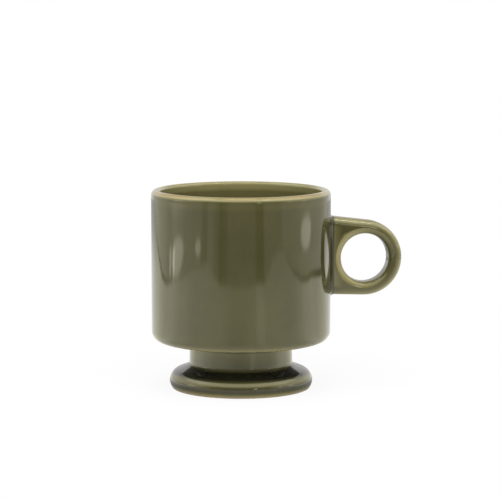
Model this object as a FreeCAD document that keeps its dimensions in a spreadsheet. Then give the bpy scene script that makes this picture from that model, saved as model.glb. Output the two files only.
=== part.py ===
import FreeCAD, Part

import math
import os

import Sketcher

# Footed stacking mug in glazed stoneware, one fired piece: a straight cup on a hollow
# pedestal, with a ring handle. Lengths in millimetres, angles in degrees. The axis of
# the cup is Z, the base stands on Z = 0 and the handle points along +X.

SIZES = (
    # The cup
    ("overall_height", 95.0, "base to lip"),
    ("cup_radius", 42.65, "outside of the straight wall"),
    ("cup_wall", 4.2, "thickness of the straight wall"),
    ("lip_share", 0.62, "part of the wall that the lip's outer round takes"),
    ("cup_underside", 22.8, "height of the flat underside of the cup"),
    ("cup_corner_round", 4.5, "round from the wall to the underside"),
    ("cup_floor", 5.0, "thickness of the floor"),
    ("floor_corner_round", 8.0, "round inside, from the wall to the floor"),
    # The pedestal
    ("neck_radius", 24.6, "neck where it meets the underside"),
    ("neck_draft", 3.0, "angle by which the neck widens downwards"),
    ("neck_root_round", 2.6, "hollow round between neck and foot"),
    ("foot_spread", 9.5, "how far the foot stands out from the neck"),
    ("foot_rim_round", 5.6, "full round of the foot's rim"),
    ("foot_rim_share", 0.67, "height of the widest point, in rim rounds"),
    ("foot_slope", 21.0, "fall of the foot's top towards the rim"),
    # The hollow under the pedestal
    ("foot_ring_width", 4.2, "ring that it stands on"),
    ("foot_wall", 5.0, "thickness of the foot's sloping top"),
    ("neck_wall", 5.0, "thickness of the neck"),
    # The handle
    ("finger_hole_radius", 11.6, "hole for one finger"),
    ("handle_band", 6.4, "width of the ring round the hole"),
    ("handle_web", 5.2, "clay between the cup's wall and the hole"),
    ("handle_share", 0.537, "part of the cup's height that lies below the hole's centre"),
    ("handle_thickness", 11.0, "across the flat faces"),
    ("handle_top_slope", 6.9, "fall of the top edge towards the tip"),
    ("handle_bottom_slope", 2.0, "fall of the bottom edge towards the tip"),
    ("handle_edge_round", 3.3, "outer edges"),
    ("hole_edge_round", 2.9, "edges of the hole"),
    ("handle_root_round", 2.0, "hollow round where the handle meets the cup"),
)

# Places and sizes that follow from the driving ones
CUP_INSIDE = "Sizes.cup_radius - Sizes.cup_wall"
LIP_OUTER = "Sizes.cup_wall * Sizes.lip_share"
LIP_INNER = "Sizes.cup_wall * (1 - Sizes.lip_share)"
FLOOR_TOP = "Sizes.cup_underside + Sizes.cup_floor"
RIM_X = "Sizes.neck_radius + Sizes.foot_spread - Sizes.foot_rim_round"
RIM_Y = "Sizes.foot_rim_round * Sizes.foot_rim_share"
RIM_HALF_CHORD = "Sizes.foot_rim_round * sqrt(1 - Sizes.foot_rim_share ^ 2)"
RING_INSIDE = f"{RIM_X} + {RIM_HALF_CHORD} - Sizes.foot_ring_width"
FOOT_TOP_OFFSET = "(Sizes.foot_rim_round - Sizes.foot_wall) / cos(Sizes.foot_slope * 1 deg)"
FOOT_TOP_FALL = f"(Sizes.foot_ring_width - {RIM_HALF_CHORD}) * tan(Sizes.foot_slope * 1 deg)"
HOLLOW_SHOULDER = f"{RIM_Y} + {FOOT_TOP_OFFSET} + {FOOT_TOP_FALL}"
NECK_INSIDE = "Sizes.neck_radius - Sizes.neck_wall"
HOLE_X = "Sizes.cup_radius + Sizes.handle_web + Sizes.finger_hole_radius"
CUP_HEIGHT = "(Sizes.overall_height - Sizes.cup_underside)"
HOLE_Y = f"Sizes.cup_underside + {CUP_HEIGHT} * Sizes.handle_share"
HANDLE_RADIUS = "Sizes.finger_hole_radius + Sizes.handle_band"
HANDLE_ROOT = "Sizes.cup_radius - Sizes.cup_wall / 2"

# Rounds that the clay beside them limits
HANDLE_EDGE = "min(Sizes.handle_edge_round; Sizes.handle_band * 0.52; Sizes.handle_thickness * 0.45)"
HOLE_LIMITS = "Sizes.handle_band * 0.46; Sizes.handle_web * 0.6; Sizes.handle_thickness * 0.45"
HOLE_EDGE = f"min(Sizes.hole_edge_round; {HOLE_LIMITS})"
HANDLE_ROOT_ROUND = "min(Sizes.handle_root_round; Sizes.handle_web * 0.39)"
NECK_ROOT = "min(Sizes.neck_root_round; Sizes.foot_spread * 0.4)"

CLOSE = 0.02
START, END, CENTRE = 1, 2, 3
ORIGIN = (-1, START)


def make_sheet(doc):
    """Writes the driving sizes into the sheet that the sketches and rounds read."""
    sheet = doc.addObject("Spreadsheet::Sheet", "Sizes")
    for row, (alias, value, meaning) in enumerate(SIZES, start=1):
        sheet.set(f"A{row}", alias)
        sheet.set(f"B{row}", str(value))
        sheet.set(f"C{row}", meaning)
        sheet.setAlias(f"B{row}", alias)
    doc.recompute()
    return sheet


def number(sheet, rule):
    """What an expression on the sheet comes to."""
    result = sheet.evalExpression(rule)
    return float(getattr(result, "Value", result))


def origin_part(body, role):
    """An axis or a plane of the body's own origin."""
    for feature in body.Origin.OriginFeatures:
        if feature.Role == role:
            return feature
    raise ValueError(f"no origin feature {role}")


class Outline:
    """A closed sketch on an upright plane: x is the distance from the axis, y the height."""

    def __init__(self, body, sheet, name, plane):
        self.sheet = sheet
        self.sketch = body.newObject("Sketcher::SketchObject", name)
        self.sketch.AttachmentSupport = [(origin_part(body, plane), "")]
        self.sketch.MapMode = "FlatFace"

    def line(self, start, end):
        segment = Part.LineSegment(FreeCAD.Vector(*start, 0), FreeCAD.Vector(*end, 0))
        return self.sketch.addGeometry(segment, False)

    def circle(self, centre, radius):
        shape = Part.Circle(FreeCAD.Vector(*centre, 0), FreeCAD.Vector(0, 0, 1), radius)
        return self.sketch.addGeometry(shape, False)

    def arc(self, centre, radius, first_angle, last_angle):
        """An anticlockwise arc; its angles are in degrees."""
        circle = Part.Circle(FreeCAD.Vector(*centre, 0), FreeCAD.Vector(0, 0, 1), radius)
        limits = math.radians(first_angle), math.radians(last_angle)
        return self.sketch.addGeometry(Part.ArcOfCircle(circle, *limits), False)

    def rule(self, *arguments):
        """Adds a constraint that has no size, and gives its place in the list."""
        return self.sketch.addConstraint(Sketcher.Constraint(*arguments))

    def join(self, *edges):
        """Joins the end of each edge to the start of the next."""
        for edge, following in zip(edges, edges[1:]):
            self.rule("Coincident", edge, END, following, START)

    def size(self, name, rule, kind, *places):
        """Adds a constraint whose size follows an expression on the sheet."""
        value = number(self.sheet, rule)
        if kind == "Angle":
            value = math.radians(value)
        index = self.rule(kind, *places, value)
        self.sketch.renameConstraint(index, name)
        self.sketch.setExpression(f"Constraints.{name}", rule)

    def point(self, edge, place):
        """Where a corner of the solved sketch lies."""
        corner = self.sketch.getPoint(edge, place)
        return corner.x, corner.y


def draw_turned_form(body, sheet):
    """Half section of the outside. Gives the corner that is rounded later."""
    rim_x, rim_y = number(sheet, RIM_X), number(sheet, RIM_Y)
    rim_round = number(sheet, "Sizes.foot_rim_round")
    slope = math.radians(number(sheet, "Sizes.foot_slope"))
    base_x = rim_x + number(sheet, RIM_HALF_CHORD)
    base_angle = math.degrees(math.atan2(rim_y, base_x - rim_x))
    neck_x = number(sheet, "Sizes.neck_radius")
    underside_y = number(sheet, "Sizes.cup_underside")
    wall_x = number(sheet, "Sizes.cup_radius")
    top_y = number(sheet, "Sizes.overall_height")
    lip = number(sheet, LIP_OUTER)
    rim_end = rim_x + rim_round * math.sin(slope), rim_y + rim_round * math.cos(slope)

    draft = math.radians(number(sheet, "Sizes.neck_draft"))
    root_round = number(sheet, NECK_ROOT)
    root_x = neck_x + root_round / math.cos(draft)
    root_y = rim_end[1] + (rim_end[0] - neck_x) * math.tan(slope) + root_round / math.cos(slope)
    root_low = root_x - root_round * math.sin(slope), root_y - root_round * math.cos(slope)
    root_high = root_x - root_round * math.cos(draft), root_y - root_round * math.sin(draft)

    out = Outline(body, sheet, "TurnedFormSketch", "YZ_Plane")
    base = out.line((0, 0), (base_x, 0))
    rim = out.arc((rim_x, rim_y), rim_round, -base_angle, 90 - math.degrees(slope))
    foot_top = out.line(rim_end, root_low)
    root_angles = 180 + math.degrees(draft), 270 - math.degrees(slope)
    neck_root = out.arc((root_x, root_y), root_round, *root_angles)
    neck = out.line(root_high, (neck_x, underside_y))
    underside = out.line((neck_x, underside_y), (wall_x, underside_y))
    wall = out.line((wall_x, underside_y), (wall_x, top_y - lip))
    lip_round = out.arc((wall_x - lip, top_y - lip), lip, 0, 90)
    top = out.line((wall_x - lip, top_y), (0, top_y))
    axis = out.line((0, top_y), (0, 0))

    out.join(base, rim)
    out.join(neck, underside, wall)
    out.join(top, axis, base)
    out.rule("Coincident", base, START, *ORIGIN)
    out.rule("Tangent", rim, END, foot_top, START)
    out.rule("Tangent", foot_top, END, neck_root, END)
    out.rule("Tangent", neck_root, START, neck, START)
    out.rule("Tangent", wall, END, lip_round, START)
    out.rule("Tangent", lip_round, END, top, START)
    for flat in (base, underside, top):
        out.rule("Horizontal", flat)
    for upright in (wall, axis):
        out.rule("Vertical", upright)
    out.size("rim_round", "Sizes.foot_rim_round", "Radius", rim)
    out.size("rim_x", RIM_X, "DistanceX", *ORIGIN, rim, CENTRE)
    out.size("rim_y", RIM_Y, "DistanceY", *ORIGIN, rim, CENTRE)
    out.size("foot_slope", "180 - Sizes.foot_slope", "Angle", foot_top)
    out.size("neck_root", NECK_ROOT, "Radius", neck_root)
    out.size("neck_draft", "90 + Sizes.neck_draft", "Angle", neck)
    out.size("neck_radius", "Sizes.neck_radius", "DistanceX", *ORIGIN, neck, END)
    out.size("underside", "Sizes.cup_underside", "DistanceY", *ORIGIN, neck, END)
    out.size("cup_radius", "Sizes.cup_radius", "DistanceX", *ORIGIN, wall, START)
    out.size("lip", LIP_OUTER, "Radius", lip_round)
    out.size("height", "Sizes.overall_height", "DistanceY", *ORIGIN, top, END)
    return out, (wall, START)


def draw_cup_inside(body, sheet):
    """Half section of the room for the drink. Gives the corner that is rounded later."""
    inside_x = number(sheet, CUP_INSIDE)
    lip = number(sheet, LIP_INNER)
    top_y = number(sheet, "Sizes.overall_height")
    floor_y = number(sheet, FLOOR_TOP)

    out = Outline(body, sheet, "CupInsideSketch", "YZ_Plane")
    mouth = out.line((inside_x + lip, top_y), (0, top_y))
    axis = out.line((0, top_y), (0, floor_y))
    floor = out.line((0, floor_y), (inside_x, floor_y))
    wall = out.line((inside_x, floor_y), (inside_x, top_y - lip))
    lip_round = out.arc((inside_x + lip, top_y - lip), lip, 90, 180)

    out.join(mouth, axis, floor, wall)
    out.rule("Tangent", wall, END, lip_round, END)
    out.rule("Tangent", lip_round, START, mouth, START)
    out.rule("PointOnObject", axis, START, -2)
    for flat in (mouth, floor):
        out.rule("Horizontal", flat)
    for upright in (axis, wall):
        out.rule("Vertical", upright)
    out.size("height", "Sizes.overall_height", "DistanceY", *ORIGIN, mouth, END)
    out.size("floor", FLOOR_TOP, "DistanceY", *ORIGIN, floor, START)
    out.size("inside", CUP_INSIDE, "DistanceX", *ORIGIN, floor, END)
    out.size("lip", LIP_INNER, "Radius", lip_round)
    return out, (floor, END)


def draw_hollow(body, sheet):
    """Half section of the hollow under the pedestal, which follows the outside."""
    ring_x = number(sheet, RING_INSIDE)
    neck_x = number(sheet, NECK_INSIDE)
    shoulder_y = number(sheet, HOLLOW_SHOULDER)
    ceiling_y = number(sheet, "Sizes.cup_underside")
    rise = math.tan(math.radians(number(sheet, "Sizes.foot_slope")))
    neck_foot_y = shoulder_y + (ring_x - neck_x) * rise

    out = Outline(body, sheet, "HollowSketch", "YZ_Plane")
    base = out.line((0, 0), (ring_x, 0))
    ring = out.line((ring_x, 0), (ring_x, shoulder_y))
    foot_top = out.line((ring_x, shoulder_y), (neck_x, neck_foot_y))
    neck = out.line((neck_x, neck_foot_y), (neck_x, ceiling_y))
    ceiling = out.line((neck_x, ceiling_y), (0, ceiling_y))
    axis = out.line((0, ceiling_y), (0, 0))

    out.join(base, ring, foot_top, neck, ceiling, axis, base)
    out.rule("Coincident", base, START, *ORIGIN)
    for flat in (base, ceiling):
        out.rule("Horizontal", flat)
    for upright in (ring, neck, axis):
        out.rule("Vertical", upright)
    out.size("ring_inside", RING_INSIDE, "DistanceX", *ORIGIN, ring, START)
    out.size("shoulder", HOLLOW_SHOULDER, "DistanceY", *ORIGIN, ring, END)
    out.size("foot_slope", "180 - Sizes.foot_slope", "Angle", foot_top)
    out.size("neck_inside", NECK_INSIDE, "DistanceX", *ORIGIN, neck, END)
    out.size("ceiling", "Sizes.cup_underside", "DistanceY", *ORIGIN, neck, END)
    return out


def draw_handle(body, sheet):
    """Side view of the handle: a round tip whose two edges run back into the wall."""
    tip_x, tip_y = number(sheet, HOLE_X), number(sheet, HOLE_Y)
    radius = number(sheet, HANDLE_RADIUS)
    root_x = number(sheet, HANDLE_ROOT)
    top_slope = number(sheet, "Sizes.handle_top_slope")
    bottom_slope = number(sheet, "Sizes.handle_bottom_slope")
    top_angle = math.radians(90 - top_slope)
    bottom_angle = math.radians(-90 - bottom_slope)
    top_end = tip_x + radius * math.cos(top_angle), tip_y + radius * math.sin(top_angle)
    bottom_end = tip_x + radius * math.cos(bottom_angle), tip_y + radius * math.sin(bottom_angle)
    top_root_y = top_end[1] + (top_end[0] - root_x) * math.tan(math.radians(top_slope))
    bottom_root_y = bottom_end[1] + (bottom_end[0] - root_x) * math.tan(math.radians(bottom_slope))

    out = Outline(body, sheet, "HandleSketch", "XZ_Plane")
    tip = out.arc((tip_x, tip_y), radius, -90 - bottom_slope, 90 - top_slope)
    top = out.line(top_end, (root_x, top_root_y))
    back = out.line((root_x, top_root_y), (root_x, bottom_root_y))
    bottom = out.line((root_x, bottom_root_y), bottom_end)

    out.join(top, back, bottom)
    out.rule("Tangent", tip, END, top, START)
    out.rule("Tangent", bottom, END, tip, START)
    out.rule("Vertical", back)
    out.size("tip_x", HOLE_X, "DistanceX", *ORIGIN, tip, CENTRE)
    out.size("tip_y", HOLE_Y, "DistanceY", *ORIGIN, tip, CENTRE)
    out.size("outer", HANDLE_RADIUS, "Radius", tip)
    out.size("root", HANDLE_ROOT, "DistanceX", *ORIGIN, back, START)
    out.size("top_slope", "180 - Sizes.handle_top_slope", "Angle", top)
    out.size("bottom_slope", "-Sizes.handle_bottom_slope", "Angle", bottom)
    return out


def draw_finger_hole(body, sheet):
    """The round hole, about the same centre as the handle's tip."""
    centre = number(sheet, HOLE_X), number(sheet, HOLE_Y)
    out = Outline(body, sheet, "FingerHoleSketch", "XZ_Plane")
    hole = out.circle(centre, number(sheet, "Sizes.finger_hole_radius"))
    out.size("hole_x", HOLE_X, "DistanceX", *ORIGIN, hole, CENTRE)
    out.size("hole_y", HOLE_Y, "DistanceY", *ORIGIN, hole, CENTRE)
    out.size("radius", "Sizes.finger_hole_radius", "Radius", hole)
    return out


def turn(body, kind, name, outline):
    """Turns a half section about the axis, to add clay or to take it away."""
    feature = body.newObject(kind, name)
    feature.Profile = outline.sketch
    feature.ReferenceAxis = (outline.sketch, ["V_Axis"])
    feature.Angle = 360
    body.Document.recompute()
    return feature


def spread(body, kind, name, outline, length_rule):
    """Pushes a sketch out to both sides of its plane, to add clay or to cut it."""
    feature = body.newObject(kind, name)
    feature.Profile = outline.sketch
    feature.SideType = "Symmetric"
    feature.setExpression("Length", length_rule)
    body.Document.recompute()
    return feature


def round_edges(body, name, rule, is_wanted):
    """Rounds the edges of the newest feature that is_wanted picks."""
    base = body.Tip
    names = [f"Edge{i}" for i, edge in enumerate(base.Shape.Edges, start=1) if is_wanted(edge)]
    if not names:
        raise ValueError(f"{name} finds no edge")
    feature = body.newObject("PartDesign::Fillet", name)
    feature.Base = (base, names)
    feature.setExpression("Radius", rule)
    body.Document.recompute()
    return feature


def round_ring(body, name, rule, outline, corner):
    """Rounds the circle that a corner of a turned outline leaves."""
    x, y = outline.point(*corner)

    def is_wanted(edge):
        if not isinstance(edge.Curve, Part.Circle):
            return False
        centre = edge.Curve.Center
        on_axis = math.hypot(centre.x, centre.y) < CLOSE
        return on_axis and math.hypot(edge.Curve.Radius - x, centre.z - y) < CLOSE

    return round_edges(body, name, rule, is_wanted)


def make_mug(doc, sheet):
    """Turns the cup and its pedestal, hollows them out and adds the handle."""
    body = doc.addObject("PartDesign::Body", "Mug")
    body.Label = "mug"

    outside, cup_corner = draw_turned_form(body, sheet)
    turn(body, "PartDesign::Revolution", "TurnedForm", outside)
    round_ring(body, "CupCornerRound", "Sizes.cup_corner_round", outside, cup_corner)

    inside, floor_corner = draw_cup_inside(body, sheet)
    turn(body, "PartDesign::Groove", "CupInside", inside)
    round_ring(body, "FloorCornerRound", "Sizes.floor_corner_round", inside, floor_corner)

    turn(body, "PartDesign::Groove", "PedestalHollow", draw_hollow(body, sheet))
    add_handle(body, sheet)
    return body


def add_handle(body, sheet):
    """A flat plate with a finger hole, rounded all over and blended into the wall."""
    wall_x = number(sheet, "Sizes.cup_radius")
    half_thickness = number(sheet, "Sizes.handle_thickness") / 2
    hole_radius = number(sheet, "Sizes.finger_hole_radius")

    def is_plate_edge(edge):
        points = edge.discretize(5)
        on_face = all(abs(abs(point.y) - half_thickness) < CLOSE for point in points)
        return on_face and max(math.hypot(point.x, point.y) for point in points) > wall_x + CLOSE

    def is_hole_edge(edge):
        curve = edge.Curve
        return isinstance(curve, Part.Circle) and abs(abs(curve.Axis.y) - 1) < CLOSE \
            and abs(curve.Radius - hole_radius) < CLOSE

    def is_root_edge(edge):
        points = edge.discretize(5)
        on_wall = all(abs(math.hypot(point.x, point.y) - wall_x) < CLOSE for point in points)
        return on_wall and all(point.x > 0 and abs(point.y) < half_thickness + CLOSE for point in points)

    spread(body, "PartDesign::Pad", "HandlePlate", draw_handle(body, sheet), "Sizes.handle_thickness")
    round_edges(body, "HandleEdgeRound", HANDLE_EDGE, is_plate_edge)
    hole = draw_finger_hole(body, sheet)
    spread(body, "PartDesign::Pocket", "FingerHole", hole, "Sizes.handle_thickness * 2")
    round_edges(body, "HoleEdgeRound", HOLE_EDGE, is_hole_edge)
    round_edges(body, "HandleRootRound", HANDLE_ROOT_ROUND, is_root_edge)


def check(doc, body):
    """Stops if any feature failed or the mug isn't one sound solid."""
    for item in doc.Objects:
        if {"Invalid", "Error"} & set(item.State):
            raise RuntimeError(f"{item.Name} failed: {item.State}")
    shape = body.Shape
    if shape.isNull() or not shape.isValid() or len(shape.Solids) != 1:
        raise RuntimeError("the mug isn't one sound solid")
    print(f"{body.Label}: {shape.Volume / 1000:.1f} cm3, {len(shape.Faces)} faces, {shape.BoundBox}")


def main():
    os.makedirs("parts", exist_ok=True)
    doc = FreeCAD.newDocument("FootedMug")
    sheet = make_sheet(doc)
    mug = make_mug(doc, sheet)
    doc.recompute()
    check(doc, mug)
    mug.Shape.exportStep(f"parts/{mug.Label}.step")


main()
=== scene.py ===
import math

import bmesh
import bpy
import numpy as np
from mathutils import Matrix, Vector, noise


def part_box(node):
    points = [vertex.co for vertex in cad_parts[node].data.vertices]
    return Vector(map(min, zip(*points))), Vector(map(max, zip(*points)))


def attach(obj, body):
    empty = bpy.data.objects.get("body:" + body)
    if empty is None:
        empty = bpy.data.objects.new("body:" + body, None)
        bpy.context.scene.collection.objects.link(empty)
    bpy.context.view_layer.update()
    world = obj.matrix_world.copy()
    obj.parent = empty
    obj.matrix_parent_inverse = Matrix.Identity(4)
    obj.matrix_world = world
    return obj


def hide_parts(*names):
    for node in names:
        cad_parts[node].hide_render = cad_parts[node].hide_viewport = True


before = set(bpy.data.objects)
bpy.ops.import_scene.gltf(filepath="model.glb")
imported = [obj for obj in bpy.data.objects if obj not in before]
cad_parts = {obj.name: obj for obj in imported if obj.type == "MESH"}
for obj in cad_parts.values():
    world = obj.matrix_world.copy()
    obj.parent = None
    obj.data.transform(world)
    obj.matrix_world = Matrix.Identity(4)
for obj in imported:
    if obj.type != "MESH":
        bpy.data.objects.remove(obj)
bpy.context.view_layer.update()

# Sizes of the mug, in millimetres and degrees. Z is the axis of the cup and the handle
# points along +X. Height and width come from the frame.
MM = 0.001
MUG_LOW, MUG_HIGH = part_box("mug")
HEIGHT = MUG_HIGH.z / MM
CUP_RADIUS = MUG_HIGH.y / MM
CUP_WALL = 4.2
CUP_UNDERSIDE = 22.8
CUP_FLOOR = 5.0
CUP_CORNER = 4.5
FLOOR_CORNER = 8.0
LIP_SHARE = 0.62

NECK_RADIUS = 24.6
NECK_DRAFT = 3.0
NECK_TOP_ROUND = 1.5
NECK_ROOT_ROUND = 1.2
FOOT_SPREAD = 9.5
RIM_ROUND = 5.6
RIM_SHARE = 0.67
FOOT_SLOPE = 21.0
FOOT_EDGE = 0.6
FOOT_RING = 4.2
FOOT_WALL = 5.0
NECK_WALL = 5.0
HOLLOW_ROUND = 2.5

HOLE_RADIUS = 11.6
HANDLE_BAND = 6.4
HANDLE_WEB = 5.2
HANDLE_SHARE = 0.537
HANDLE_HALF = 5.5
HANDLE_TOP_SLOPE = 6.9
HANDLE_BOTTOM_SLOPE = 2.0
HANDLE_EDGE = 3.3
HOLE_EDGE = 2.9
ROOT_ROUND = 2.0

# How finely the clay is meshed
SEGMENTS = 240
WALL_STEP = 2.0
SLOPE_STEP = 0.5
ARC_STEP = 10.0
LIP_OUT_STEPS = 10
LIP_IN_STEPS = 8
EDGE_STEPS = 8
BAND_STEPS = 10
SIDE_STEPS = 28
TOP_STEPS = 15
TIP_STEPS = 52
BOTTOM_STEPS = 13
FILLET_STEPS = 6
WINDOW_STEPS = 5
FACE_STEPS = 4
HOLE_STEPS = 5
# The turned wall is left open in a window round the handle's root, this far past it
WINDOW_MARGIN = 4.6
WINDOW_ROWS = SIDE_STEPS + EDGE_STEPS
# Points closer than this are one point
SAME_PLACE = 1e-6

# How far the glaze moves off true, over what length, how high up the move is whole, and where
# the noise is read for each direction
SWELL = 0.05
SWELL_LENGTH = 34.0
SWELL_START = 6.0
SWELL_X_PLACE = (7.3, 0, 0)
SWELL_Y_PLACE = (0, 3.1, 0)
# How far the glaze runs off each round, and how far up the foot's edge the clay is bare
GLAZE_FLOW = 0.4
BARE_SHARE = 0.7

# How the glaze lies on each round: angles across it, each with its film. Film is 1 where the
# glaze is thin and the clay shows through, 0 on a plain wall and -1 where it pools. Some films
# also paint shade and highlights, as marked below. Names in FILMS hold the first and last film
# of a straight run.
RING_EDGE_FILM = ((180, 0.3), (270, 0.8))
FOOT_EDGE_FILM = ((-90, 0.8), (-30, 0.8))
# On the foot's rim the glaze is thin at the bottom and over the crest; the dark films on its outer
# face and at its top, under the cup, are painted shade.
RIM_FILM_AND_SHADE = (
    (-45, 1.0), (-32, 1.0), (-24, 0.45), (-15, 0.0), (-4, -0.3), (5, -0.5), (10, -0.1), (14, 0.2),
    (22, 0.38), (34, 0.40), (42, 0.1), (50, -0.5), (60, -0.9),
)
# The slope under the cup: pooled glaze, with painted shade from the cup's overhang
SLOPE_POOL_AND_SHADE = -0.9
# The slope's pooled glaze and painted shade end this far outside the round at the neck's root
POOL_AND_SHADE_END = 0.5
# The concave round at the neck's root is lighter towards the slope: a painted highlight
NECK_ROOT_HIGHLIGHT = ((183, 0.02), (225, 0.15), (249, 0.25))
NECK_FILMS = (0.0, 0.22)
# The round at the top of the neck carries painted shade under the cup's overhang
NECK_TOP_PAINTED_SHADE = ((90, -0.4), (183, -0.4))
# Painted shade under the cup reaches this far down the neck
NECK_TOP_SHADE_REACH = 1.7
# On the cup's corner the glaze is thin over its lower face; the dark films where it turns under the
# cup are painted shade.
CORNER_FILM_AND_SHADE = (
    (-90, -0.8), (-79, -0.5), (-72, 0.8), (-58, 0.8), (-44, 0.36), (-25, 0.08), (0, 0.0),
)
WALL_TOP_FILMS = (0.0, 0.12)
LIP_OUT_FILM = (
    (0, 0.02), (19, 0.20), (33, 0.88), (42, 1.0), (55, 1.0), (66, 0.80), (90, 0.78),
)
LIP_IN_FILM = ((90, 0.78), (115, 0.76), (180, 0.74))
# Runs down the inside: depth under the lip, first film and last film
INSIDE_FILMS = ((1.7, 0.72, 0.68), (3.2, 0.50, 0.32), (24.0, 0.32, 0.18))
FLOOR_CORNER_FILM = ((-90, 0.0), (0, 0.05))
HANDLE_EDGE_FILM = ((0, 0.06), (20, 0.22), (45, 0.62), (70, 0.50), (90, 0.30))
HOLE_EDGE_FILM = ((0, 0.34), (20, 0.45), (45, 0.44), (70, 0.32), (90, 0.10))
# On the handle's faces the glaze is thinner in a strip beside the wall, as wide as FACE_STRIP
FACE_FILM = 0.0
FACE_STRIP_FILM = 0.34
FACE_STRIP = 4.0
# The crease round the handle's root is darkest near its middle, a little towards the handle
CREASE_FILM = -1.0
CREASE_LEAN = 0.85
# Painted highlights: how much lighter the hole's edge is on the cup's side, and the top edge at the
# wall
HOLE_HIGHLIGHT_LEAN = 0.9
TOP_HIGHLIGHT_GAIN = 0.5

# The camera, which looks down a little from the left of the handle's plane
CAMERA_TURN = 8.0
CAMERA_DISTANCE = 1.1194
CAMERA_HEIGHT = 0.20495
CAMERA_TILT = 7.08
CAMERA_PAN = 0.22
SENSOR_WIDTH = 36.0
FOCAL_PIXELS = 2367.8
PICTURE_PIXELS = 500


def sine(degrees):
    return math.sin(math.radians(degrees))


def cosine(degrees):
    return math.cos(math.radians(degrees))


def tangent(degrees):
    return math.tan(math.radians(degrees))


def soften(values, places, reach):
    """Spreads values along a line, because no film of glaze starts or stops at once."""
    values, places = np.array(values), np.array(places)
    widths = np.gradient(places)
    gaps = places[:, None] - places[None, :]
    weights = np.exp(-0.5 * (gaps / reach) ** 2) * widths[None, :]
    return (weights @ values) / weights.sum(axis=1)


class Section:
    """A line of points across the clay, each with the film of glaze on it."""

    def __init__(self, start, film=0.0):
        self.points = [start]
        self.films = [film]

    def line(self, end, film=(0.0, 0.0), step=WALL_STEP, count=None):
        """A straight run to end. The film goes evenly from its first value to its last."""
        start = self.points[-1]
        count = count or max(1, round(math.dist(start, end) / step))
        for i in range(1, count + 1):
            share = i / count
            self.points.append(tuple(a + (b - a) * share for a, b in zip(start, end)))
            self.films.append(film[0] + (film[1] - film[0]) * share)

    def arc(self, centre, radius, first, last, film, before=(0.0, 0.0), count=None):
        """A straight run to the start of a round, and the round, whose film goes by angle."""
        count = count or max(2, round(abs(last - first) / ARC_STEP))
        angles, films = zip(*film)
        self.line((centre[0] + radius * cosine(first), centre[1] + radius * sine(first)), before)
        for i in range(count + 1):
            angle = first + (last - first) * i / count
            place = centre[0] + radius * cosine(angle), centre[1] + radius * sine(angle)
            if i:
                self.points.append(place)
                self.films.append(0.0)
            self.films[-1] = float(np.interp(angle, angles, films))

    def softened_films(self):
        places = [0.0]
        for before, after in zip(self.points, self.points[1:]):
            places.append(places[-1] + math.dist(before, after))
        return soften(self.films, places, GLAZE_FLOW)


class Clay:
    """The mesh as it grows: points in millimetres, the film and bareness at each, and faces."""

    def __init__(self):
        self.points = []
        self.films = []
        self.bare = []
        self.faces = []

    def add(self, point, film, bare=0.0):
        self.points.append(point)
        self.films.append(film)
        self.bare.append(bare)
        return len(self.points) - 1

    def bridge(self, row, following, closed):
        """Quads between two rows of as many points."""
        count = len(row) if closed else len(row) - 1
        for i in range(count):
            j = (i + 1) % len(row)
            self.faces.append((row[i], row[j], following[j], following[i]))

    def fan(self, centre, row):
        for i, corner in enumerate(row):
            self.faces.append((centre, corner, row[(i + 1) % len(row)]))


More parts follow.
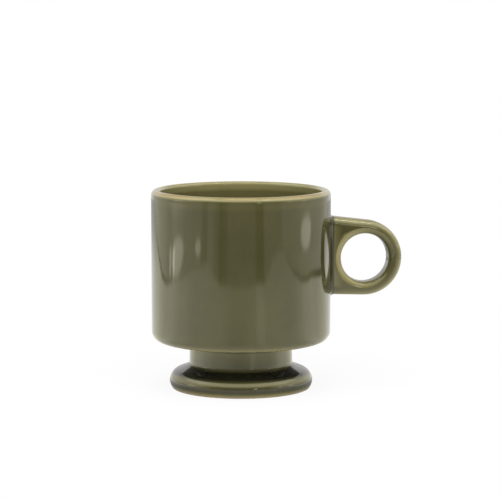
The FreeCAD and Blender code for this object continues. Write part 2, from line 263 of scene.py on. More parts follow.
def turned_section():
    """Half section of the pedestal, from the middle of its hollow out to the cup's wall."""
    rim_x = NECK_RADIUS + FOOT_SPREAD - RIM_ROUND
    rim_z = RIM_ROUND * RIM_SHARE
    half_chord = RIM_ROUND * math.sqrt(1 - RIM_SHARE ** 2)
    base_x = rim_x + half_chord
    ring_x = base_x - FOOT_RING
    neck_in = NECK_RADIUS - NECK_WALL
    shoulder_z = rim_z + (RIM_ROUND - FOOT_WALL) / cosine(FOOT_SLOPE)
    shoulder_z += (FOOT_RING - half_chord) * tangent(FOOT_SLOPE)
    bend_z = shoulder_z + (ring_x - neck_in) * tangent(FOOT_SLOPE)
    round_in = HOLLOW_ROUND

    plain = (0, 0.0), (90, 0.0)
    line = Section((0.0, CUP_UNDERSIDE))
    line.arc((neck_in - round_in, CUP_UNDERSIDE - round_in), round_in, 90, 0, plain)
    corner_x = neck_in + round_in
    corner_z = bend_z + round_in * (1 / cosine(FOOT_SLOPE) - tangent(FOOT_SLOPE))
    line.arc((corner_x, corner_z), round_in, 180, 270 - FOOT_SLOPE, plain)
    corner_x = ring_x - round_in
    corner_z = shoulder_z + round_in * (tangent(FOOT_SLOPE) - 1 / cosine(FOOT_SLOPE))
    line.arc((corner_x, corner_z), round_in, 90 - FOOT_SLOPE, 0, plain)
    line.arc((ring_x + FOOT_EDGE, FOOT_EDGE), FOOT_EDGE, 180, 270, RING_EDGE_FILM)
    edge_x = rim_x + math.sqrt((RIM_ROUND - FOOT_EDGE) ** 2 - (rim_z - FOOT_EDGE) ** 2)
    edge_angle = math.degrees(math.asin((rim_z - FOOT_EDGE) / (RIM_ROUND - FOOT_EDGE)))
    line.arc((edge_x, FOOT_EDGE), FOOT_EDGE, -90, -edge_angle, FOOT_EDGE_FILM)
    # The rim, with painted shade on its outer face and at its top under the cup
    line.arc((rim_x, rim_z), RIM_ROUND, -edge_angle, 90 - FOOT_SLOPE, RIM_FILM_AND_SHADE)

    foot_end_x = rim_x + RIM_ROUND * sine(FOOT_SLOPE)
    foot_end_z = rim_z + RIM_ROUND * cosine(FOOT_SLOPE)
    root_x = NECK_RADIUS + NECK_ROOT_ROUND / cosine(NECK_DRAFT)
    root_z = foot_end_z + (foot_end_x - NECK_RADIUS) * tangent(FOOT_SLOPE)
    root_z += NECK_ROOT_ROUND / cosine(FOOT_SLOPE)
    # The slope: pooled glaze and painted shade under the cup, out to the neck's root
    run = foot_end_x - NECK_RADIUS - NECK_ROOT_ROUND - POOL_AND_SHADE_END
    dark_band_end = foot_end_x - run, foot_end_z + run * tangent(FOOT_SLOPE)
    line.line(dark_band_end, (SLOPE_POOL_AND_SHADE, SLOPE_POOL_AND_SHADE), SLOPE_STEP)
    root = root_x, root_z
    # The root round, with a painted highlight towards the slope
    line.arc(root, NECK_ROOT_ROUND, 270 - FOOT_SLOPE, 180 + NECK_DRAFT, NECK_ROOT_HIGHLIGHT)
    top_x = NECK_RADIUS + NECK_TOP_ROUND
    top_z = CUP_UNDERSIDE - NECK_TOP_ROUND
    # Painted shade under the cup, down the top of the neck and over the round at the joint
    line.line((NECK_RADIUS, top_z - NECK_TOP_SHADE_REACH), NECK_FILMS)
    top_shade = NECK_TOP_PAINTED_SHADE[0][1], NECK_TOP_PAINTED_SHADE[0][1]
    line.arc((top_x, top_z), NECK_TOP_ROUND, 180 + NECK_DRAFT, 90, NECK_TOP_PAINTED_SHADE, top_shade)
    corner = CUP_RADIUS - CUP_CORNER, CUP_UNDERSIDE + CUP_CORNER
    # The cup's corner, with painted shade where it turns under the cup
    line.arc(corner, CUP_CORNER, -90, 0, CORNER_FILM_AND_SHADE)
    return line


def whole_section(window_low, window_high):
    """The whole half section, with even rows at the handle's window. Gives their first too."""
    lip_out = CUP_WALL * LIP_SHARE
    lip_in = CUP_WALL - lip_out
    inside = CUP_RADIUS - CUP_WALL
    floor_z = CUP_UNDERSIDE + CUP_FLOOR

    line = turned_section()
    line.line((CUP_RADIUS, window_low))
    first_row = len(line.points) - 1
    line.line((CUP_RADIUS, window_high), count=WINDOW_ROWS)
    outer = CUP_RADIUS - lip_out, HEIGHT - lip_out
    line.arc(outer, lip_out, 0, 90, LIP_OUT_FILM, WALL_TOP_FILMS, LIP_OUT_STEPS)
    inner = inside + lip_in, HEIGHT - lip_in
    line.arc(inner, lip_in, 90, 180, LIP_IN_FILM, count=LIP_IN_STEPS)
    for depth, first, last in INSIDE_FILMS:
        line.line((inside, HEIGHT - lip_in - depth), (first, last))
    corner = inside - FLOOR_CORNER, floor_z + FLOOR_CORNER
    line.arc(corner, FLOOR_CORNER, 0, -90, FLOOR_CORNER_FILM, (last, FLOOR_CORNER_FILM[-1][1]))
    line.line((0.0, floor_z))
    return line, first_row


class Handle:
    """Places on the ring handle, worked out from its side view and its thickness."""

    def __init__(self):
        self.x = CUP_RADIUS + HANDLE_WEB + HOLE_RADIUS
        self.z = CUP_UNDERSIDE + (HEIGHT - CUP_UNDERSIDE) * HANDLE_SHARE
        self.radius = HOLE_RADIUS + HANDLE_BAND
        self.top_angle = 90 - HANDLE_TOP_SLOPE
        self.bottom_angle = -90 - HANDLE_BOTTOM_SLOPE
        self.band = self.across(HANDLE_EDGE, BAND_STEPS, HANDLE_EDGE_FILM)
        self.inner_band = self.across(HOLE_EDGE, HOLE_STEPS, HOLE_EDGE_FILM)

    def across(self, edge, flat_steps, film):
        """A line across the thickness: y, inset from the outline, the way it faces, and film."""
        crest = film[-1][1]
        mirrored = tuple((180 - angle, value) for angle, value in reversed(film))
        line = Section((HANDLE_HALF, -edge), film[0][1])
        line.arc((HANDLE_HALF - edge, -edge), edge, 0, 90, film, (film[0][1],) * 2, EDGE_STEPS)
        line.line((edge - HANDLE_HALF, 0.0), (crest, crest), count=flat_steps)
        line.arc((edge - HANDLE_HALF, -edge), edge, 90, 180, mirrored, (crest, crest), EDGE_STEPS)
        # The first point of each arc falls on the end of the line before it
        keep = [0]
        for i in range(1, len(line.points)):
            if math.dist(line.points[i], line.points[i - 1]) > SAME_PLACE:
                keep.append(i)
        films = line.softened_films()
        rows = []
        for i in keep:
            y, inset = line.points[i][0], -line.points[i][1]
            side = max(0.0, abs(y) - (HANDLE_HALF - edge)) / edge
            facing = math.copysign(side, y), math.sqrt(max(0.0, 1 - side ** 2))
            rows.append((y, inset, facing, films[i]))
        return rows

    def edge_z(self, top, x, inset):
        """Height of the straight top or bottom edge, or of a line that lies inside it."""
        angle = self.top_angle if top else self.bottom_angle
        touch_x = self.x + (self.radius - inset) * cosine(angle)
        touch_z = self.z + (self.radius - inset) * sine(angle)
        slope = HANDLE_TOP_SLOPE if top else HANDLE_BOTTOM_SLOPE
        return touch_z + (touch_x - x) * tangent(slope)

    def face_film(self, x):
        """The film on a side face: the glaze runs thin in a strip beside the crease at the wall."""
        away = (x - self.root_x(HANDLE_HALF, ROOT_ROUND)) / FACE_STRIP
        return FACE_FILM + (FACE_STRIP_FILM - FACE_FILM) * max(0.0, 1 - away)

    def hole_film_and_highlight(self, film, angle):
        """The film on the hole's edge, with a painted highlight that makes the cup's side lighter
        than the tip.
        """
        return film * (1 - HOLE_HIGHLIGHT_LEAN * math.cos(angle))

    def band_film_and_highlight(self, film, step):
        """The film on the outer edge, with a painted highlight that makes the top lighter beside
        the wall.
        """
        kind, place = step
        return film * (1 + TOP_HIGHLIGHT_GAIN * max(0.0, 1 - place)) if kind == "top" else film

    def root_x(self, y, standoff):
        return math.sqrt((CUP_RADIUS + standoff) ** 2 - y ** 2)

    def root_loop(self, off, standoff):
        """The loop round the handle at its root, off its sides and standing off the wall."""
        loop = []
        for top in (True, False):
            row = self.band if top else self.band[::-1]
            for y, inset, facing, _ in row:
                place_y = y + off * facing[0]
                x = self.root_x(place_y, standoff)
                lift = off * facing[1]
                loop.append((x, place_y, self.edge_z(top, x, inset) + (lift if top else -lift)))
            side_y = math.copysign(HANDLE_HALF + off, row[-1][0])
            x = self.root_x(side_y, standoff)
            high, low = self.edge_z(True, x, HANDLE_EDGE), self.edge_z(False, x, HANDLE_EDGE)
            first, last = (high, low) if top else (low, high)
            for i in range(1, SIDE_STEPS):
                loop.append((x, side_y, first + (last - first) * i / SIDE_STEPS))
        return loop

    def path(self):
        """Steps along the outline: from the top edge's root, round the tip, to the other root."""
        steps = [("top", i / TOP_STEPS) for i in range(TOP_STEPS)]
        swing = self.bottom_angle - self.top_angle
        steps += [("tip", self.top_angle + swing * i / TIP_STEPS) for i in range(TIP_STEPS)]
        steps += [("bottom", i / BOTTOM_STEPS) for i in range(BOTTOM_STEPS + 1)]
        return steps

    def on_path(self, step, y, inset):
        kind, place = step
        if kind == "tip":
            reach = self.radius - inset
            return self.x + reach * cosine(place), y, self.z + reach * sine(place)
        top = kind == "top"
        angle = self.top_angle if top else self.bottom_angle
        touch_x = self.x + (self.radius - inset) * cosine(angle)
        root_x = self.root_x(y, ROOT_ROUND)
        first, last = (root_x, touch_x) if top else (touch_x, root_x)
        x = first + (last - first) * place
        return x, y, self.edge_z(top, x, inset)


def spin(clay, line, skip):
    """Turns the section about the axis. Leaves out the quads that skip picks."""
    films = line.softened_films()
    rings = []
    kept = []
    for i, (radius, z) in enumerate(line.points):
        if kept and math.dist(line.points[kept[-1]], (radius, z)) < SAME_PLACE:
            continue
        kept.append(i)
        bare = 1.0 if z < FOOT_EDGE * BARE_SHARE else 0.0
        if radius < SAME_PLACE:
            rings.append(clay.add((0.0, 0.0, z), films[i], bare))
            continue
        ring = []
        for step in range(SEGMENTS):
            angle = 360 * step / SEGMENTS
            ring.append(clay.add((radius * cosine(angle), radius * sine(angle), z), films[i], bare))
        rings.append(ring)
    for row, following, number in zip(rings, rings[1:], kept):
        if isinstance(row, int):
            clay.fan(row, following)
        elif isinstance(following, int):
            clay.fan(following, row[::-1])
        else:
            for step in range(SEGMENTS):
                if not skip(number, step):
                    after = (step + 1) % SEGMENTS
                    clay.faces.append((row[step], row[after], following[after], following[step]))
    return dict(zip(kept, rings))


def build_handle(clay, handle):
    """The plate with its finger hole. Gives the loop of points where it leaves its root round."""
    path = handle.path()
    band = []
    for step in path:
        row = []
        for y, inset, _, film in handle.band:
            row.append(clay.add(handle.on_path(step, y, inset), handle.band_film_and_highlight(film, step)))
        band.append(row)
    for row, following in zip(band, band[1:]):
        clay.bridge(row, following, closed=False)

    edge_film = handle.inner_band[0][3]
    root = handle.root_loop(0.0, ROOT_ROUND)
    across = len(handle.band)
    sides = {-1: [], 1: []}
    for i in range(1, SIDE_STEPS):
        down = root[across + i - 1]
        sides[-1].append(clay.add(down, handle.face_film(down[0])))
    for i in range(1, SIDE_STEPS):
        up = root[2 * across + SIDE_STEPS - 1 + i - 1]
        sides[1].append(clay.add(up, handle.face_film(up[0])))

    inner_rows = {}
    for side in (1, -1):
        edge = [row[0] if side > 0 else row[-1] for row in band]
        back = sides[1] if side > 0 else sides[-1][::-1]
        rim = edge + back
        y = side * HANDLE_HALF
        loops = [rim]
        for step in range(1, FACE_STEPS + 1):
            share = step / FACE_STEPS
            loop = []
            for corner in rim:
                x, _, z = clay.points[corner]
                angle = math.atan2(z - handle.z, x - handle.x)
                hole_x = handle.x + (HOLE_RADIUS + HOLE_EDGE) * math.cos(angle)
                hole_z = handle.z + (HOLE_RADIUS + HOLE_EDGE) * math.sin(angle)
                place = x + (hole_x - x) * share, y, z + (hole_z - z) * share
                film = handle.face_film(place[0])
                if step == FACE_STEPS:
                    film = handle.hole_film_and_highlight(edge_film, angle)
                loop.append(clay.add(place, film))
            loops.append(loop)
        for outer, inner in zip(loops, loops[1:]):
            clay.bridge(outer, inner, closed=True)
        inner_rows[side] = loops[-1]

    rows = [inner_rows[1]]
    for y, inset, _, film in handle.inner_band[1:-1]:
        row = []
        for corner in inner_rows[1]:
            x, _, z = clay.points[corner]
            angle = math.atan2(z - handle.z, x - handle.x)
            reach = HOLE_RADIUS + inset
            place = handle.x + reach * math.cos(angle), y, handle.z + reach * math.sin(angle)
            row.append(clay.add(place, handle.hole_film_and_highlight(film, angle)))
        rows.append(row)
    rows.append(inner_rows[-1])
    for row, following in zip(rows, rows[1:]):
        clay.bridge(row, following, closed=True)

    return band[0] + sides[-1] + band[-1][::-1] + sides[1]


def build_root(clay, handle, root, rings, first_row, half_columns):
    """The hollow round between handle and wall, and the wall out to the edge of its window."""
    loops = [root]
    for step in range(1, FILLET_STEPS + 1):
        turn = 90 * (1 - step / FILLET_STEPS)
        off = ROOT_ROUND * (1 - sine(turn))
        standoff = ROOT_ROUND * (1 - cosine(turn))
        film = CREASE_FILM * sine(180 * (step / FILLET_STEPS) ** CREASE_LEAN) ** 2
        loops.append([clay.add(point, film) for point in handle.root_loop(off, standoff)])

    columns = list(range(half_columns, -half_columns - 1, -1))
    rows = list(range(first_row + WINDOW_ROWS, first_row - 1, -1))
    window = [rings[rows[0]][c % SEGMENTS] for c in columns[:-1]]
    window += [rings[r][columns[-1] % SEGMENTS] for r in rows[:-1]]
    window += [rings[rows[-1]][c % SEGMENTS] for c in columns[:0:-1]]
    window += [rings[r][columns[0] % SEGMENTS] for r in rows[:0:-1]]
    # Each corner of the window faces the middle of one of the handle's rounds
    shift = EDGE_STEPS // 2
    window = window[-shift:] + window[:-shift]

    foot = loops[-1]
    for step in range(1, WINDOW_STEPS):
        share = step / WINDOW_STEPS
        loop = []
        for inner, outer in zip(foot, window):
            x1, y1, z1 = clay.points[inner]
            x2, y2, z2 = clay.points[outer]
            angle = math.atan2(y1, x1) * (1 - share) + math.atan2(y2, x2) * share
            z = z1 + (z2 - z1) * share
            place = CUP_RADIUS * math.cos(angle), CUP_RADIUS * math.sin(angle), z
            loop.append(clay.add(place, 0.0))
        loops.append(loop)
    loops.append(window)
    for loop, following in zip(loops, loops[1:]):
        clay.bridge(loop, following, closed=True)


def swell(point):
    """Moves a point a little, as clay that was trimmed and glazed by hand is never quite even."""
    place = Vector(point) / SWELL_LENGTH
    shift = Vector((
        noise.noise(place + Vector(SWELL_X_PLACE)),
        noise.noise(place + Vector(SWELL_Y_PLACE)),
        0.0,
    ))
    settle = min(1.0, point[2] / SWELL_START)
    return Vector(point) + shift * (2 * SWELL * settle)


def make_mug():
    """Cup, pedestal and handle as one skin, because they are one fired piece."""
    handle = Handle()
    low = handle.edge_z(False, CUP_RADIUS, 0.0) - ROOT_ROUND - WINDOW_MARGIN
    high = handle.edge_z(True, CUP_RADIUS, 0.0) + ROOT_ROUND + WINDOW_MARGIN
    line, first_row = whole_section(low, high)
    half_columns = (BAND_STEPS + EDGE_STEPS) // 2
    last_row = first_row + WINDOW_ROWS

    def in_window(row, step):
        column = (step + SEGMENTS // 2) % SEGMENTS - SEGMENTS // 2
        return first_row <= row < last_row and -half_columns <= column < half_columns

    clay = Clay()
    rings = spin(clay, line, in_window)
    root = build_handle(clay, handle)
    build_root(clay, handle, root, rings, first_row, half_columns)
    return clay_object("glazed_mug", clay)


def clay_object(name, clay):
    """Makes the Blender object, with the film and bareness of each point kept as attributes."""
    mesh = bpy.data.meshes.new(name)
    mesh.from_pydata([swell(point) * MM for point in clay.points], [], clay.faces)
    for title, values in (("film", clay.films), ("bare", clay.bare)):
        attribute = mesh.attributes.new(title, "FLOAT", "POINT")
        attribute.data.foreach_set("value", np.array(values, dtype=np.float32))
    form = bmesh.new()
    form.from_mesh(mesh)
    # The turned wall's points inside the window carry no face
    loose = [v for v in form.verts if not v.link_faces]
    bmesh.ops.delete(form, geom=loose, context="VERTS")
    bmesh.ops.recalc_face_normals(form, faces=form.faces)
    form.to_mesh(mesh)
    form.free()
    mesh.polygons.foreach_set("use_smooth", [True] * len(mesh.polygons))
    mesh.update()
    piece = bpy.data.objects.new(name, mesh)
    bpy.context.scene.collection.objects.link(piece)
    return piece


class Value:
    """A number that varies over a surface. Arithmetic on it adds Math nodes."""

    def __init__(self, recipe, socket):
        self.recipe = recipe
        self.socket = socket

    def math(self, operation, *others, **settings):
        inputs = {i: other for i, other in enumerate((self,) + others)}
        node = self.recipe.node("ShaderNodeMath", {"operation": operation, **settings}, inputs)
        return Value(self.recipe, node.outputs[0])

    def __add__(self, other):
        return self.math("ADD", other)

    def __mul__(self, other):
        return self.math("MULTIPLY", other)

    def __sub__(self, other):
        return self.math("SUBTRACT", other)

    def __rsub__(self, other):
        node = self.recipe.node("ShaderNodeMath", {"operation": "SUBTRACT"}, {0: other, 1: self})
        return Value(self.recipe, node.outputs[0])

    def __neg__(self):
        return self * -1.0

    __radd__ = __add__
    __rmul__ = __mul__

    def clamped(self):
        return self.math("ADD", 0.0, use_clamp=True)

    def between(self, low, high):
        """0 at low, 1 at high, with soft ends."""
        settings = {"interpolation_type": "SMOOTHSTEP"}
        inputs = {"Value": self, "From Min": low, "From Max": high}
        node = self.recipe.node("ShaderNodeMapRange", settings, inputs)
        return Value(self.recipe, node.outputs[0])


class Recipe:
    """The nodes of one material or of the world."""

    def __init__(self, owner):
        owner.use_nodes = True
        self.tree = owner.node_tree
        self.tree.nodes.clear()

    def node(self, kind, settings=None, inputs=None):
        """Adds a node: its settings come first, then the values or links of its sockets."""
        node = self.tree.nodes.new(kind)
        for name, value in (settings or {}).items():
            if name == "stops":
                self.set_stops(node.color_ramp, value)
            else:
                setattr(node, name, value)
        for name, value in (inputs or {}).items():
            socket = node.inputs[name]
            if isinstance(value, Value):
                value = value.socket
            if isinstance(value, bpy.types.NodeSocket):
                self.tree.links.new(value, socket)
            else:
                socket.default_value = value
        return node

    @staticmethod
    def set_stops(ramp, stops):
        ramp.interpolation = "EASE"
        while len(ramp.elements) < len(stops):
            ramp.elements.new(1.0)
        for element, (position, level) in zip(ramp.elements, stops):
            element.position = position
            element.color = (level, level, level, 1.0)

    def value(self, kind, settings=None, inputs=None, output=0):
        return Value(self, self.node(kind, settings, inputs).outputs[output])

    def mix(self, share, first, second):
        """A colour that goes from first to second as share goes from 0 to 1."""
        node = self.node("ShaderNodeMix", {"data_type": "RGBA"}, {0: share, 6: first, 7: second})
        return node.outputs[2]

    def noise(self, place, scale, detail=2.0):
        inputs = {"Vector": place, "Scale": scale, "Detail": detail}
        return self.value("ShaderNodeTexNoise", None, inputs)


# Colours, as Blender takes them
OLIVE = (0.061, 0.057, 0.021, 1.0)
OLIVE_LIGHT = (0.078, 0.072, 0.028, 1.0)
YELLOW_OLIVE = (0.19, 0.168, 0.066, 1.0)
PALE_OLIVE = (0.30, 0.27, 0.12, 1.0)
TAN = (0.33, 0.232, 0.088, 1.0)
# Near black: pooled glaze, and the painted shade under the cup
POOLED_AND_SHADED = (0.007, 0.007, 0.007, 1.0)
BUFF_CLAY = (0.52, 0.41, 0.27, 1.0)
PALE_FLOOR = (0.88, 0.88, 0.88, 1.0)
WHITE = (1.0, 1.0, 1.0, 1.0)

# Tones of thinning glaze, each mixed over the one before; the same tones paint the highlights at
# the neck's root, the hole's edge and the handle's top edge. Its share is the film times the
# first number, less the second.
THIN_AND_HIGHLIGHT_TONES = ((YELLOW_OLIVE, 2.2, 0.0), (PALE_OLIVE, 3.3, 1.5), (TAN, 4.0, 3.0))
# A slow cloud varies the film and the plain tone: its scale, its share of the film and the rest
# of it, and where it goes from the one olive to the other
CLOUD_SCALE = 38.0
CLOUD_SHARE = 0.7
CLOUD_REST = 0.65
CLOUD_SPAN = (0.32, 0.72)
# A fine grain varies the gloss
GRAIN_SCALE = 900.0
GRAIN_SPAN = (0.3, 0.8)
POLISH = 0.045
POLISH_SPREAD = 0.02
BARE_ROUGHNESS = 0.75
# The relief: runs that are drawn out down the wall, small pits, and the grain of bare clay
RUN_STRETCH = (1, 1, 0.22)
RUN_SCALE = 230.0
RUN_SHARE = 0.5
PIT_SCALE = 700.0
PIT_SHARE = 0.02
BARE_GRAIN_SHARE = 0.5
RELIEF_HEIGHT = 0.00002
GLAZE_IOR = 1.52


def glaze_material():
    """Glossy olive glaze: tan where it thins over an edge, near black where it pools, with painted
    shade under the cup and painted highlights at the neck's root, the hole's edge and the handle's
    top edge.
    """
    material = bpy.data.materials.new("olive_glaze")
    recipe = Recipe(material)
    place = recipe.node("ShaderNodeTexCoord").outputs["Object"]
    film_and_painted_light = recipe.value("ShaderNodeAttribute", {"attribute_name": "film"}, output="Fac")
    bare = recipe.value("ShaderNodeAttribute", {"attribute_name": "bare"}, output="Fac")

    cloud = recipe.noise(place, CLOUD_SCALE, detail=3.0)
    grain = recipe.noise(place, GRAIN_SCALE)
    film = film_and_painted_light * (cloud * CLOUD_SHARE + CLOUD_REST)
    thin = film.clamped()
    glaze = recipe.mix(cloud.between(*CLOUD_SPAN), OLIVE, OLIVE_LIGHT)
    # Pale tones of thin glaze, which also paint the highlights at the neck's root, the hole's edge
    # and the handle's top edge
    for tone, gain, less in THIN_AND_HIGHLIGHT_TONES:
        glaze = recipe.mix((thin * gain - less).clamped(), glaze, tone)
    # Near black where the glaze pools, and painted shade under the cup
    glaze = recipe.mix((-film).clamped(), glaze, POOLED_AND_SHADED)
    colour = recipe.mix(bare, glaze, BUFF_CLAY)

    polish = POLISH + grain.between(*GRAIN_SPAN) * POLISH_SPREAD
    stretch = recipe.node("ShaderNodeVectorMath", {"operation": "MULTIPLY"}, {
        0: place,
        1: RUN_STRETCH,
    })
    runs = recipe.noise(stretch.outputs[0], RUN_SCALE, detail=1.0) * RUN_SHARE
    pits = recipe.noise(place, PIT_SCALE, detail=1.0) * PIT_SHARE
    relief = runs + pits + grain * bare * BARE_GRAIN_SHARE
    bump = recipe.node("ShaderNodeBump", None, {
        "Strength": 1.0,
        "Distance": RELIEF_HEIGHT,
        "Height": relief,
    })
    shader = recipe.node("ShaderNodeBsdfPrincipled", None, {
        "Base Color": colour,
        "Roughness": polish + bare * BARE_ROUGHNESS,
        "IOR": GLAZE_IOR,
        "Normal": bump.outputs[0],
    })
    recipe.node("ShaderNodeOutputMaterial", None, {"Surface": shader.outputs[0]})
    return material


# What the glaze mirrors, by turn: 0.5 is the front, 0 and 1 lie behind the mug, and 0 to 0.5 is
# the left. Levels are shares of PANEL_LEVEL. Low panels stand round the table, and the mug's wall
# mirrors them past the table's edge. Over them come the backdrop, the middle and the ring, and the
# table top has levels of its own.
PANEL_LEVEL = 4.0
LOW_PANELS = (
    (0.000, 0.13), (0.030, 0.22), (0.060, 0.30), (0.120, 0.27), (0.155, 0.30), (0.190, 0.31),
    (0.222, 0.27), (0.248, 0.36), (0.272, 0.33), (0.310, 0.28), (0.355, 0.25), (0.367, 0.155),
    (0.379, 0.135), (0.387, 0.23), (0.400, 0.215), (0.416, 0.13), (0.431, 0.03), (0.450, 0.05),
    (0.459, 0.105), (0.546, 0.095), (0.553, 0.03), (0.5755, 0.015), (0.582, 0.145), (0.640, 0.14),
    (0.650, 0.225), (0.700, 0.235), (0.735, 0.28), (0.785, 0.29), (0.830, 0.26), (0.930, 0.31),
    (0.970, 0.20), (1.000, 0.13),
)
BACKDROP_PANELS = (
    (0.00, 0.20), (0.04, 0.24), (0.12, 0.38), (0.20, 0.40), (0.30, 0.38), (0.38, 0.05),
    (0.62, 0.05), (0.70, 0.38), (0.80, 0.40), (0.88, 0.38), (0.96, 0.26), (1.00, 0.20),
)
MID_PANELS = (
    (0.00, 0.14), (0.07, 0.15), (0.12, 0.35), (0.30, 0.42), (0.38, 0.12), (0.62, 0.12),
    (0.70, 0.42), (0.88, 0.35), (0.93, 0.15), (1.00, 0.14),
)
RING_PANELS = (
    (0.00, 0.07), (0.06, 0.07), (0.11, 0.30), (0.20, 0.72), (0.27, 0.85), (0.36, 0.60),
    (0.50, 0.52), (0.64, 0.60), (0.73, 0.78), (0.80, 0.66), (0.89, 0.30), (0.94, 0.07),
    (1.00, 0.07),
)
TABLE_PANELS = (
    (0.000, 0.12), (0.030, 0.20), (0.057, 0.28), (0.100, 0.35), (0.160, 0.45), (0.200, 0.47),
    (0.240, 0.56), (0.290, 0.49), (0.350, 0.38), (0.420, 0.33), (0.455, 0.28), (0.480, 0.24),
    (0.510, 0.235), (0.545, 0.26), (0.556, 0.37), (0.574, 0.375), (0.584, 0.305), (0.600, 0.305),
    (0.660, 0.33), (0.690, 0.38), (0.710, 0.44), (0.735, 0.55), (0.765, 0.545), (0.800, 0.45),
    (0.860, 0.40), (0.910, 0.34), (0.945, 0.26), (0.970, 0.19), (1.000, 0.12),
)
# Where the table ends, in metres by turn. It bulges towards the mug between the two tongues of
# shade at the sides, and a dark line follows it there.
TABLE_EDGE = (
    (0.000, 0.95), (0.104, 0.93), (0.112, 0.78), (0.126, 0.625), (0.142, 0.555), (0.155, 0.495),
    (0.166, 0.450), (0.177, 0.412), (0.205, 0.390), (0.250, 0.41), (0.270, 0.42), (0.345, 0.49),
    (0.385, 0.53), (0.412, 0.46), (0.430, 0.435), (0.525, 0.435), (0.548, 0.455), (0.580, 0.455),
    (0.595, 0.50), (0.610, 0.56), (0.640, 0.60), (0.655, 0.58), (0.670, 0.52), (0.690, 0.465),
    (0.728, 0.425), (0.750, 0.425), (0.775, 0.445), (0.800, 0.445), (0.830, 0.445), (0.865, 0.49),
    (0.900, 0.90), (1.000, 0.95),
)
# How much darker that line is
EDGE_SHADE = (
    (0.00, 0.0), (0.08, 0.0), (0.10, 0.14), (0.13, 0.14), (0.15, 0.22), (0.19, 0.20), (0.22, 0.10),
    (0.26, 0.0), (0.65, 0.0), (0.67, 0.09), (0.71, 0.16), (0.76, 0.24), (0.80, 0.34), (0.85, 0.34),
    (0.87, 0.0), (1.00, 0.0),
)

# Where each band of the room gives way to the next, by height: 0 is level and 1 is straight up
LOW_TO_BACKDROP = (0.02, 0.14)
BACKDROP_TO_MIDDLE = (0.37, 0.48)
MIDDLE_TO_RING = (0.46, 0.56)
RING_END = (0.92, 0.97)
OVERHEAD_START = (0.972, 0.985)
OVERHEAD_LEVEL = 3.6
ROOM_TINT = (1.0, 0.985, 0.79, 1.0)
BACKDROP_TINT = (1.0, 0.99, 0.97, 1.0)
# How far from the front, by turn, the tint goes from the room's to the backdrop's
TINT_CHANGE = (0.34, 0.44)

# The plain light of the room on the mug, which grows a little with height
DOME_LEVEL = 0.50
DOME_GAIN = 0.10
DOME_RISE = (-0.2, 0.9)

# The table top in the glaze, in metres: how softly it ends, the dark line at its end, where it
# dims outwards and by how much, and the least level
TABLE_END = (-0.015, 0.02)
LINE_START = (-0.01, 0.01)
LINE_END = (0.02, 0.05)
TABLE_DIMS = (0.40, 0.75)
TABLE_LOSS = 0.4
LEAST_LEVEL = 0.02
# The floor itself, in metres: where the glaze starts to mirror the lit table, how far the mug's
# shadow shows to the camera, and how white the floor is at the foot and how much it gains
LIT_TABLE_START = (0.035, 0.12)
SHADOW_FADE = (0.05, 0.30)
FOOT_WHITE = 0.91
WHITE_GAIN = 0.09
FLOOR_RADIUS = 3.0
FLOOR_SEGMENTS = 96
# How far the floor lies under the foot ring, in millimetres
FLOOR_GAP = 0.05

# Single lights that stand on the low panels: level, middle and half width by turn, middle and
# half depth by distance in metres, lean of the turn per metre. LIGHT_CORE is the full part.
LIGHT_CORE = 0.6
LIGHTS = (
    (1.80, 0.262, 0.033, 0.57, 0.165, 0.05),
    (0.45, 0.255, 0.060, 1.10, 0.300, 0.00),
    (1.70, 0.2255, 0.0065, 0.525, 0.125, 0.00),
    (2.20, 0.2445, 0.0060, 0.525, 0.125, 0.00),
    (2.00, 0.349, 0.013, 0.63, 0.080, 0.00),
    (2.15, 0.749, 0.031, 0.715, 0.128, 0.03),
)

# Small bare lamps above the table: level, middle and half width by turn, middle and half height.
# SPARK_EDGE is the share of a half that fades.
SPARK_EDGE = 0.5
SPARKS = (
    (2.6, 0.258, 0.030, 0.14, 0.07),
    (7.0, 0.565, 0.009, 0.17, 0.07),
    (8.0, 0.66, 0.050, 0.91, 0.030),
    (2.2, 0.684, 0.014, 0.15, 0.07),
    (2.6, 0.748, 0.022, 0.14, 0.06),
)

# Soft lamps: name, place in metres, side and power
LAMPS = (
    ("front_softbox", (-0.08, -0.56, 0.95), 0.9, 7.6),
    ("overhead_softbox", (0.0, 0.0, 1.1), 0.35, 2.3),
)


def turn_from_back(recipe, place):
    """The angle round the axis as 0 to 1, with 0.5 at the front."""
    xyz = recipe.node("ShaderNodeVectorRotate", {"rotation_type": "Z_AXIS"}, {
        "Vector": place,
        "Angle": math.radians(CAMERA_TURN),
    })
    parts = recipe.node("ShaderNodeSeparateXYZ", None, {0: xyz.outputs[0]})
    x = Value(recipe, parts.outputs[0])
    y = Value(recipe, parts.outputs[1])
    return x.math("ARCTAN2", -y) * (0.5 / math.pi) + 0.5


def panels(recipe, turn, stops):
    ramp = recipe.value("ShaderNodeValToRGB", {"stops": stops}, {0: turn})
    return ramp * PANEL_LEVEL


def single_lights(turn, distance):
    """The single lights, added up."""
    total = 0.0
    for level, middle, half, reach, depth, lean in LIGHTS:
        along = distance - reach
        across = (turn - along * lean - middle) * (1 / half)
        along = along * (1 / depth)
        off = (across * across + along * along).math("SQRT")
        total = total + (1 - off.between(LIGHT_CORE, 1.0)) * level
    return total


def sparks(turn, height):
    """The small lamps, added up."""
    total = 0.0
    for level, middle, half, middle_height, half_height in SPARKS:
        across = half - (turn - middle).math("ABSOLUTE")
        along = half_height - (height - middle_height).math("ABSOLUTE")
        across = across.between(0.0, half * SPARK_EDGE)
        along = along.between(0.0, half_height * SPARK_EDGE)
        total = total + across * along * level
    return total


def tint_by_turn(recipe, turn):
    """Warm to the front and sides, and white where the backdrop is."""
    behind = (turn - 0.5).math("ABSOLUTE").between(*TINT_CHANGE)
    return recipe.mix(behind, ROOM_TINT, BACKDROP_TINT)


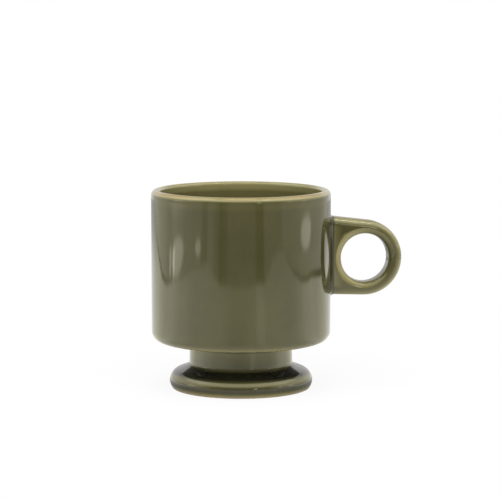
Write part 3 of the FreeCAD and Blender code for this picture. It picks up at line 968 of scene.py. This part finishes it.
def make_world():
    """A pale room: plain light on the mug, and panels that only its glaze mirrors."""
    world = bpy.data.worlds.new("studio")
    bpy.context.scene.world = world
    recipe = Recipe(world)
    way = recipe.node("ShaderNodeTexCoord").outputs["Generated"]
    rays = recipe.node("ShaderNodeLightPath")
    turn = turn_from_back(recipe, way)
    height = Value(recipe, recipe.node("ShaderNodeSeparateXYZ", None, {0: way}).outputs[2])

    past_low = height.between(*LOW_TO_BACKDROP)
    past_backdrop = height.between(*BACKDROP_TO_MIDDLE)
    past_middle = height.between(*MIDDLE_TO_RING)
    in_ring = 1 - height.between(*RING_END)
    overhead = height.between(*OVERHEAD_START)
    low = panels(recipe, turn, LOW_PANELS)
    backdrop = panels(recipe, turn, BACKDROP_PANELS)
    middle = panels(recipe, turn, MID_PANELS)
    ring = panels(recipe, turn, RING_PANELS)
    mirrored = low * (1 - past_low) + backdrop * past_low * (1 - past_backdrop)
    mirrored = mirrored + middle * past_backdrop * (1 - past_middle)
    mirrored = mirrored + ring * past_middle * in_ring
    mirrored = mirrored + overhead * OVERHEAD_LEVEL + sparks(turn, height)
    plain = DOME_LEVEL + height.between(*DOME_RISE) * DOME_GAIN
    glossy = Value(recipe, rays.outputs["Is Glossy Ray"])
    camera = Value(recipe, rays.outputs["Is Camera Ray"])
    level = plain * (1 - glossy) + mirrored * glossy
    level = level * (1 - camera) + camera
    tint = recipe.mix(glossy, WHITE, tint_by_turn(recipe, turn))
    light = recipe.node("ShaderNodeBackground", None, {"Color": tint, "Strength": level})
    recipe.node("ShaderNodeOutputWorld", None, {"Surface": light.outputs[0]})


def floor_material():
    """White to the camera apart from a faint shadow, and a lit table top in the glaze."""
    material = bpy.data.materials.new("pale_floor")
    recipe = Recipe(material)
    place = recipe.node("ShaderNodeTexCoord").outputs["Object"]
    rays = recipe.node("ShaderNodeLightPath")
    turn = turn_from_back(recipe, place)
    length = {"operation": "LENGTH"}
    distance = recipe.value("ShaderNodeVectorMath", length, {0: place}, output="Value")
    past = distance - recipe.value("ShaderNodeValToRGB", {"stops": TABLE_EDGE}, {0: turn})
    beyond = past.between(*TABLE_END)
    line = past.between(*LINE_START) * (1 - past.between(*LINE_END))
    dimmed = 1 - distance.between(*TABLE_DIMS) * TABLE_LOSS
    table = panels(recipe, turn, TABLE_PANELS) * dimmed
    room = panels(recipe, turn, LOW_PANELS) + single_lights(turn, distance)
    mirrored = table * (1 - beyond) + room * beyond
    mirrored = mirrored - panels(recipe, turn, EDGE_SHADE) * line

    matt = recipe.node("ShaderNodeBsdfDiffuse", None, {"Color": PALE_FLOOR})
    white = recipe.node("ShaderNodeEmission", None, {"Color": WHITE, "Strength": 1.0})
    glow = recipe.node("ShaderNodeEmission", None, {
        "Color": tint_by_turn(recipe, turn),
        "Strength": mirrored.math("MAXIMUM", LEAST_LEVEL),
    })
    glossy = Value(recipe, rays.outputs["Is Glossy Ray"])
    camera = Value(recipe, rays.outputs["Is Camera Ray"])
    in_glaze = recipe.node("ShaderNodeMixShader", None, {
        0: glossy * distance.between(*LIT_TABLE_START),
        1: matt.outputs[0],
        2: glow.outputs[0],
    })
    in_view = recipe.node("ShaderNodeMixShader", None, {
        0: camera * (distance.between(*SHADOW_FADE) * WHITE_GAIN + FOOT_WHITE),
        1: in_glaze.outputs[0],
        2: white.outputs[0],
    })
    recipe.node("ShaderNodeOutputMaterial", None, {"Surface": in_view.outputs[0]})
    return material


def make_floor():
    """The table top, a hair under the foot ring so that the two never share a plane."""
    form = bmesh.new()
    bmesh.ops.create_circle(form, cap_ends=True, segments=FLOOR_SEGMENTS, radius=FLOOR_RADIUS)
    mesh = bpy.data.meshes.new("floor")
    form.to_mesh(mesh)
    form.free()
    floor = bpy.data.objects.new("floor", mesh)
    bpy.context.scene.collection.objects.link(floor)
    mesh.materials.append(floor_material())
    floor.location.z = -FLOOR_GAP * MM


def make_lamp(name, place, size, power):
    """A square soft light that points at the middle of the mug."""
    lamp = bpy.data.lights.new(name, "AREA")
    lamp.shape = "SQUARE"
    lamp.size = size
    lamp.energy = power
    holder = bpy.data.objects.new(name, lamp)
    bpy.context.scene.collection.objects.link(holder)
    holder.location = place
    aim = Vector((0, 0, HEIGHT * MM / 2)) - holder.location
    holder.rotation_euler = aim.to_track_quat("-Z", "Y").to_euler()
    # The glaze mirrors the panels of the room in its place
    holder.visible_glossy = False


def make_camera():
    camera = bpy.data.cameras.new("camera")
    camera.sensor_width = SENSOR_WIDTH
    camera.lens = camera.sensor_width * FOCAL_PIXELS / PICTURE_PIXELS
    holder = bpy.data.objects.new("camera", camera)
    bpy.context.scene.collection.objects.link(holder)
    holder.location = (
        -CAMERA_DISTANCE * sine(CAMERA_TURN),
        -CAMERA_DISTANCE * cosine(CAMERA_TURN),
        CAMERA_HEIGHT,
    )
    heading = math.radians(-CAMERA_TURN - CAMERA_PAN)
    holder.rotation_euler = (math.radians(90 - CAMERA_TILT), 0.0, heading)
    bpy.context.scene.camera = holder


bpy.context.scene.view_settings.view_transform = "Standard"
make_camera()
make_world()
make_floor()
for lamp in LAMPS:
    make_lamp(*lamp)
mug = make_mug()
mug.data.materials.append(glaze_material())
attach(mug, "root")
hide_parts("mug")
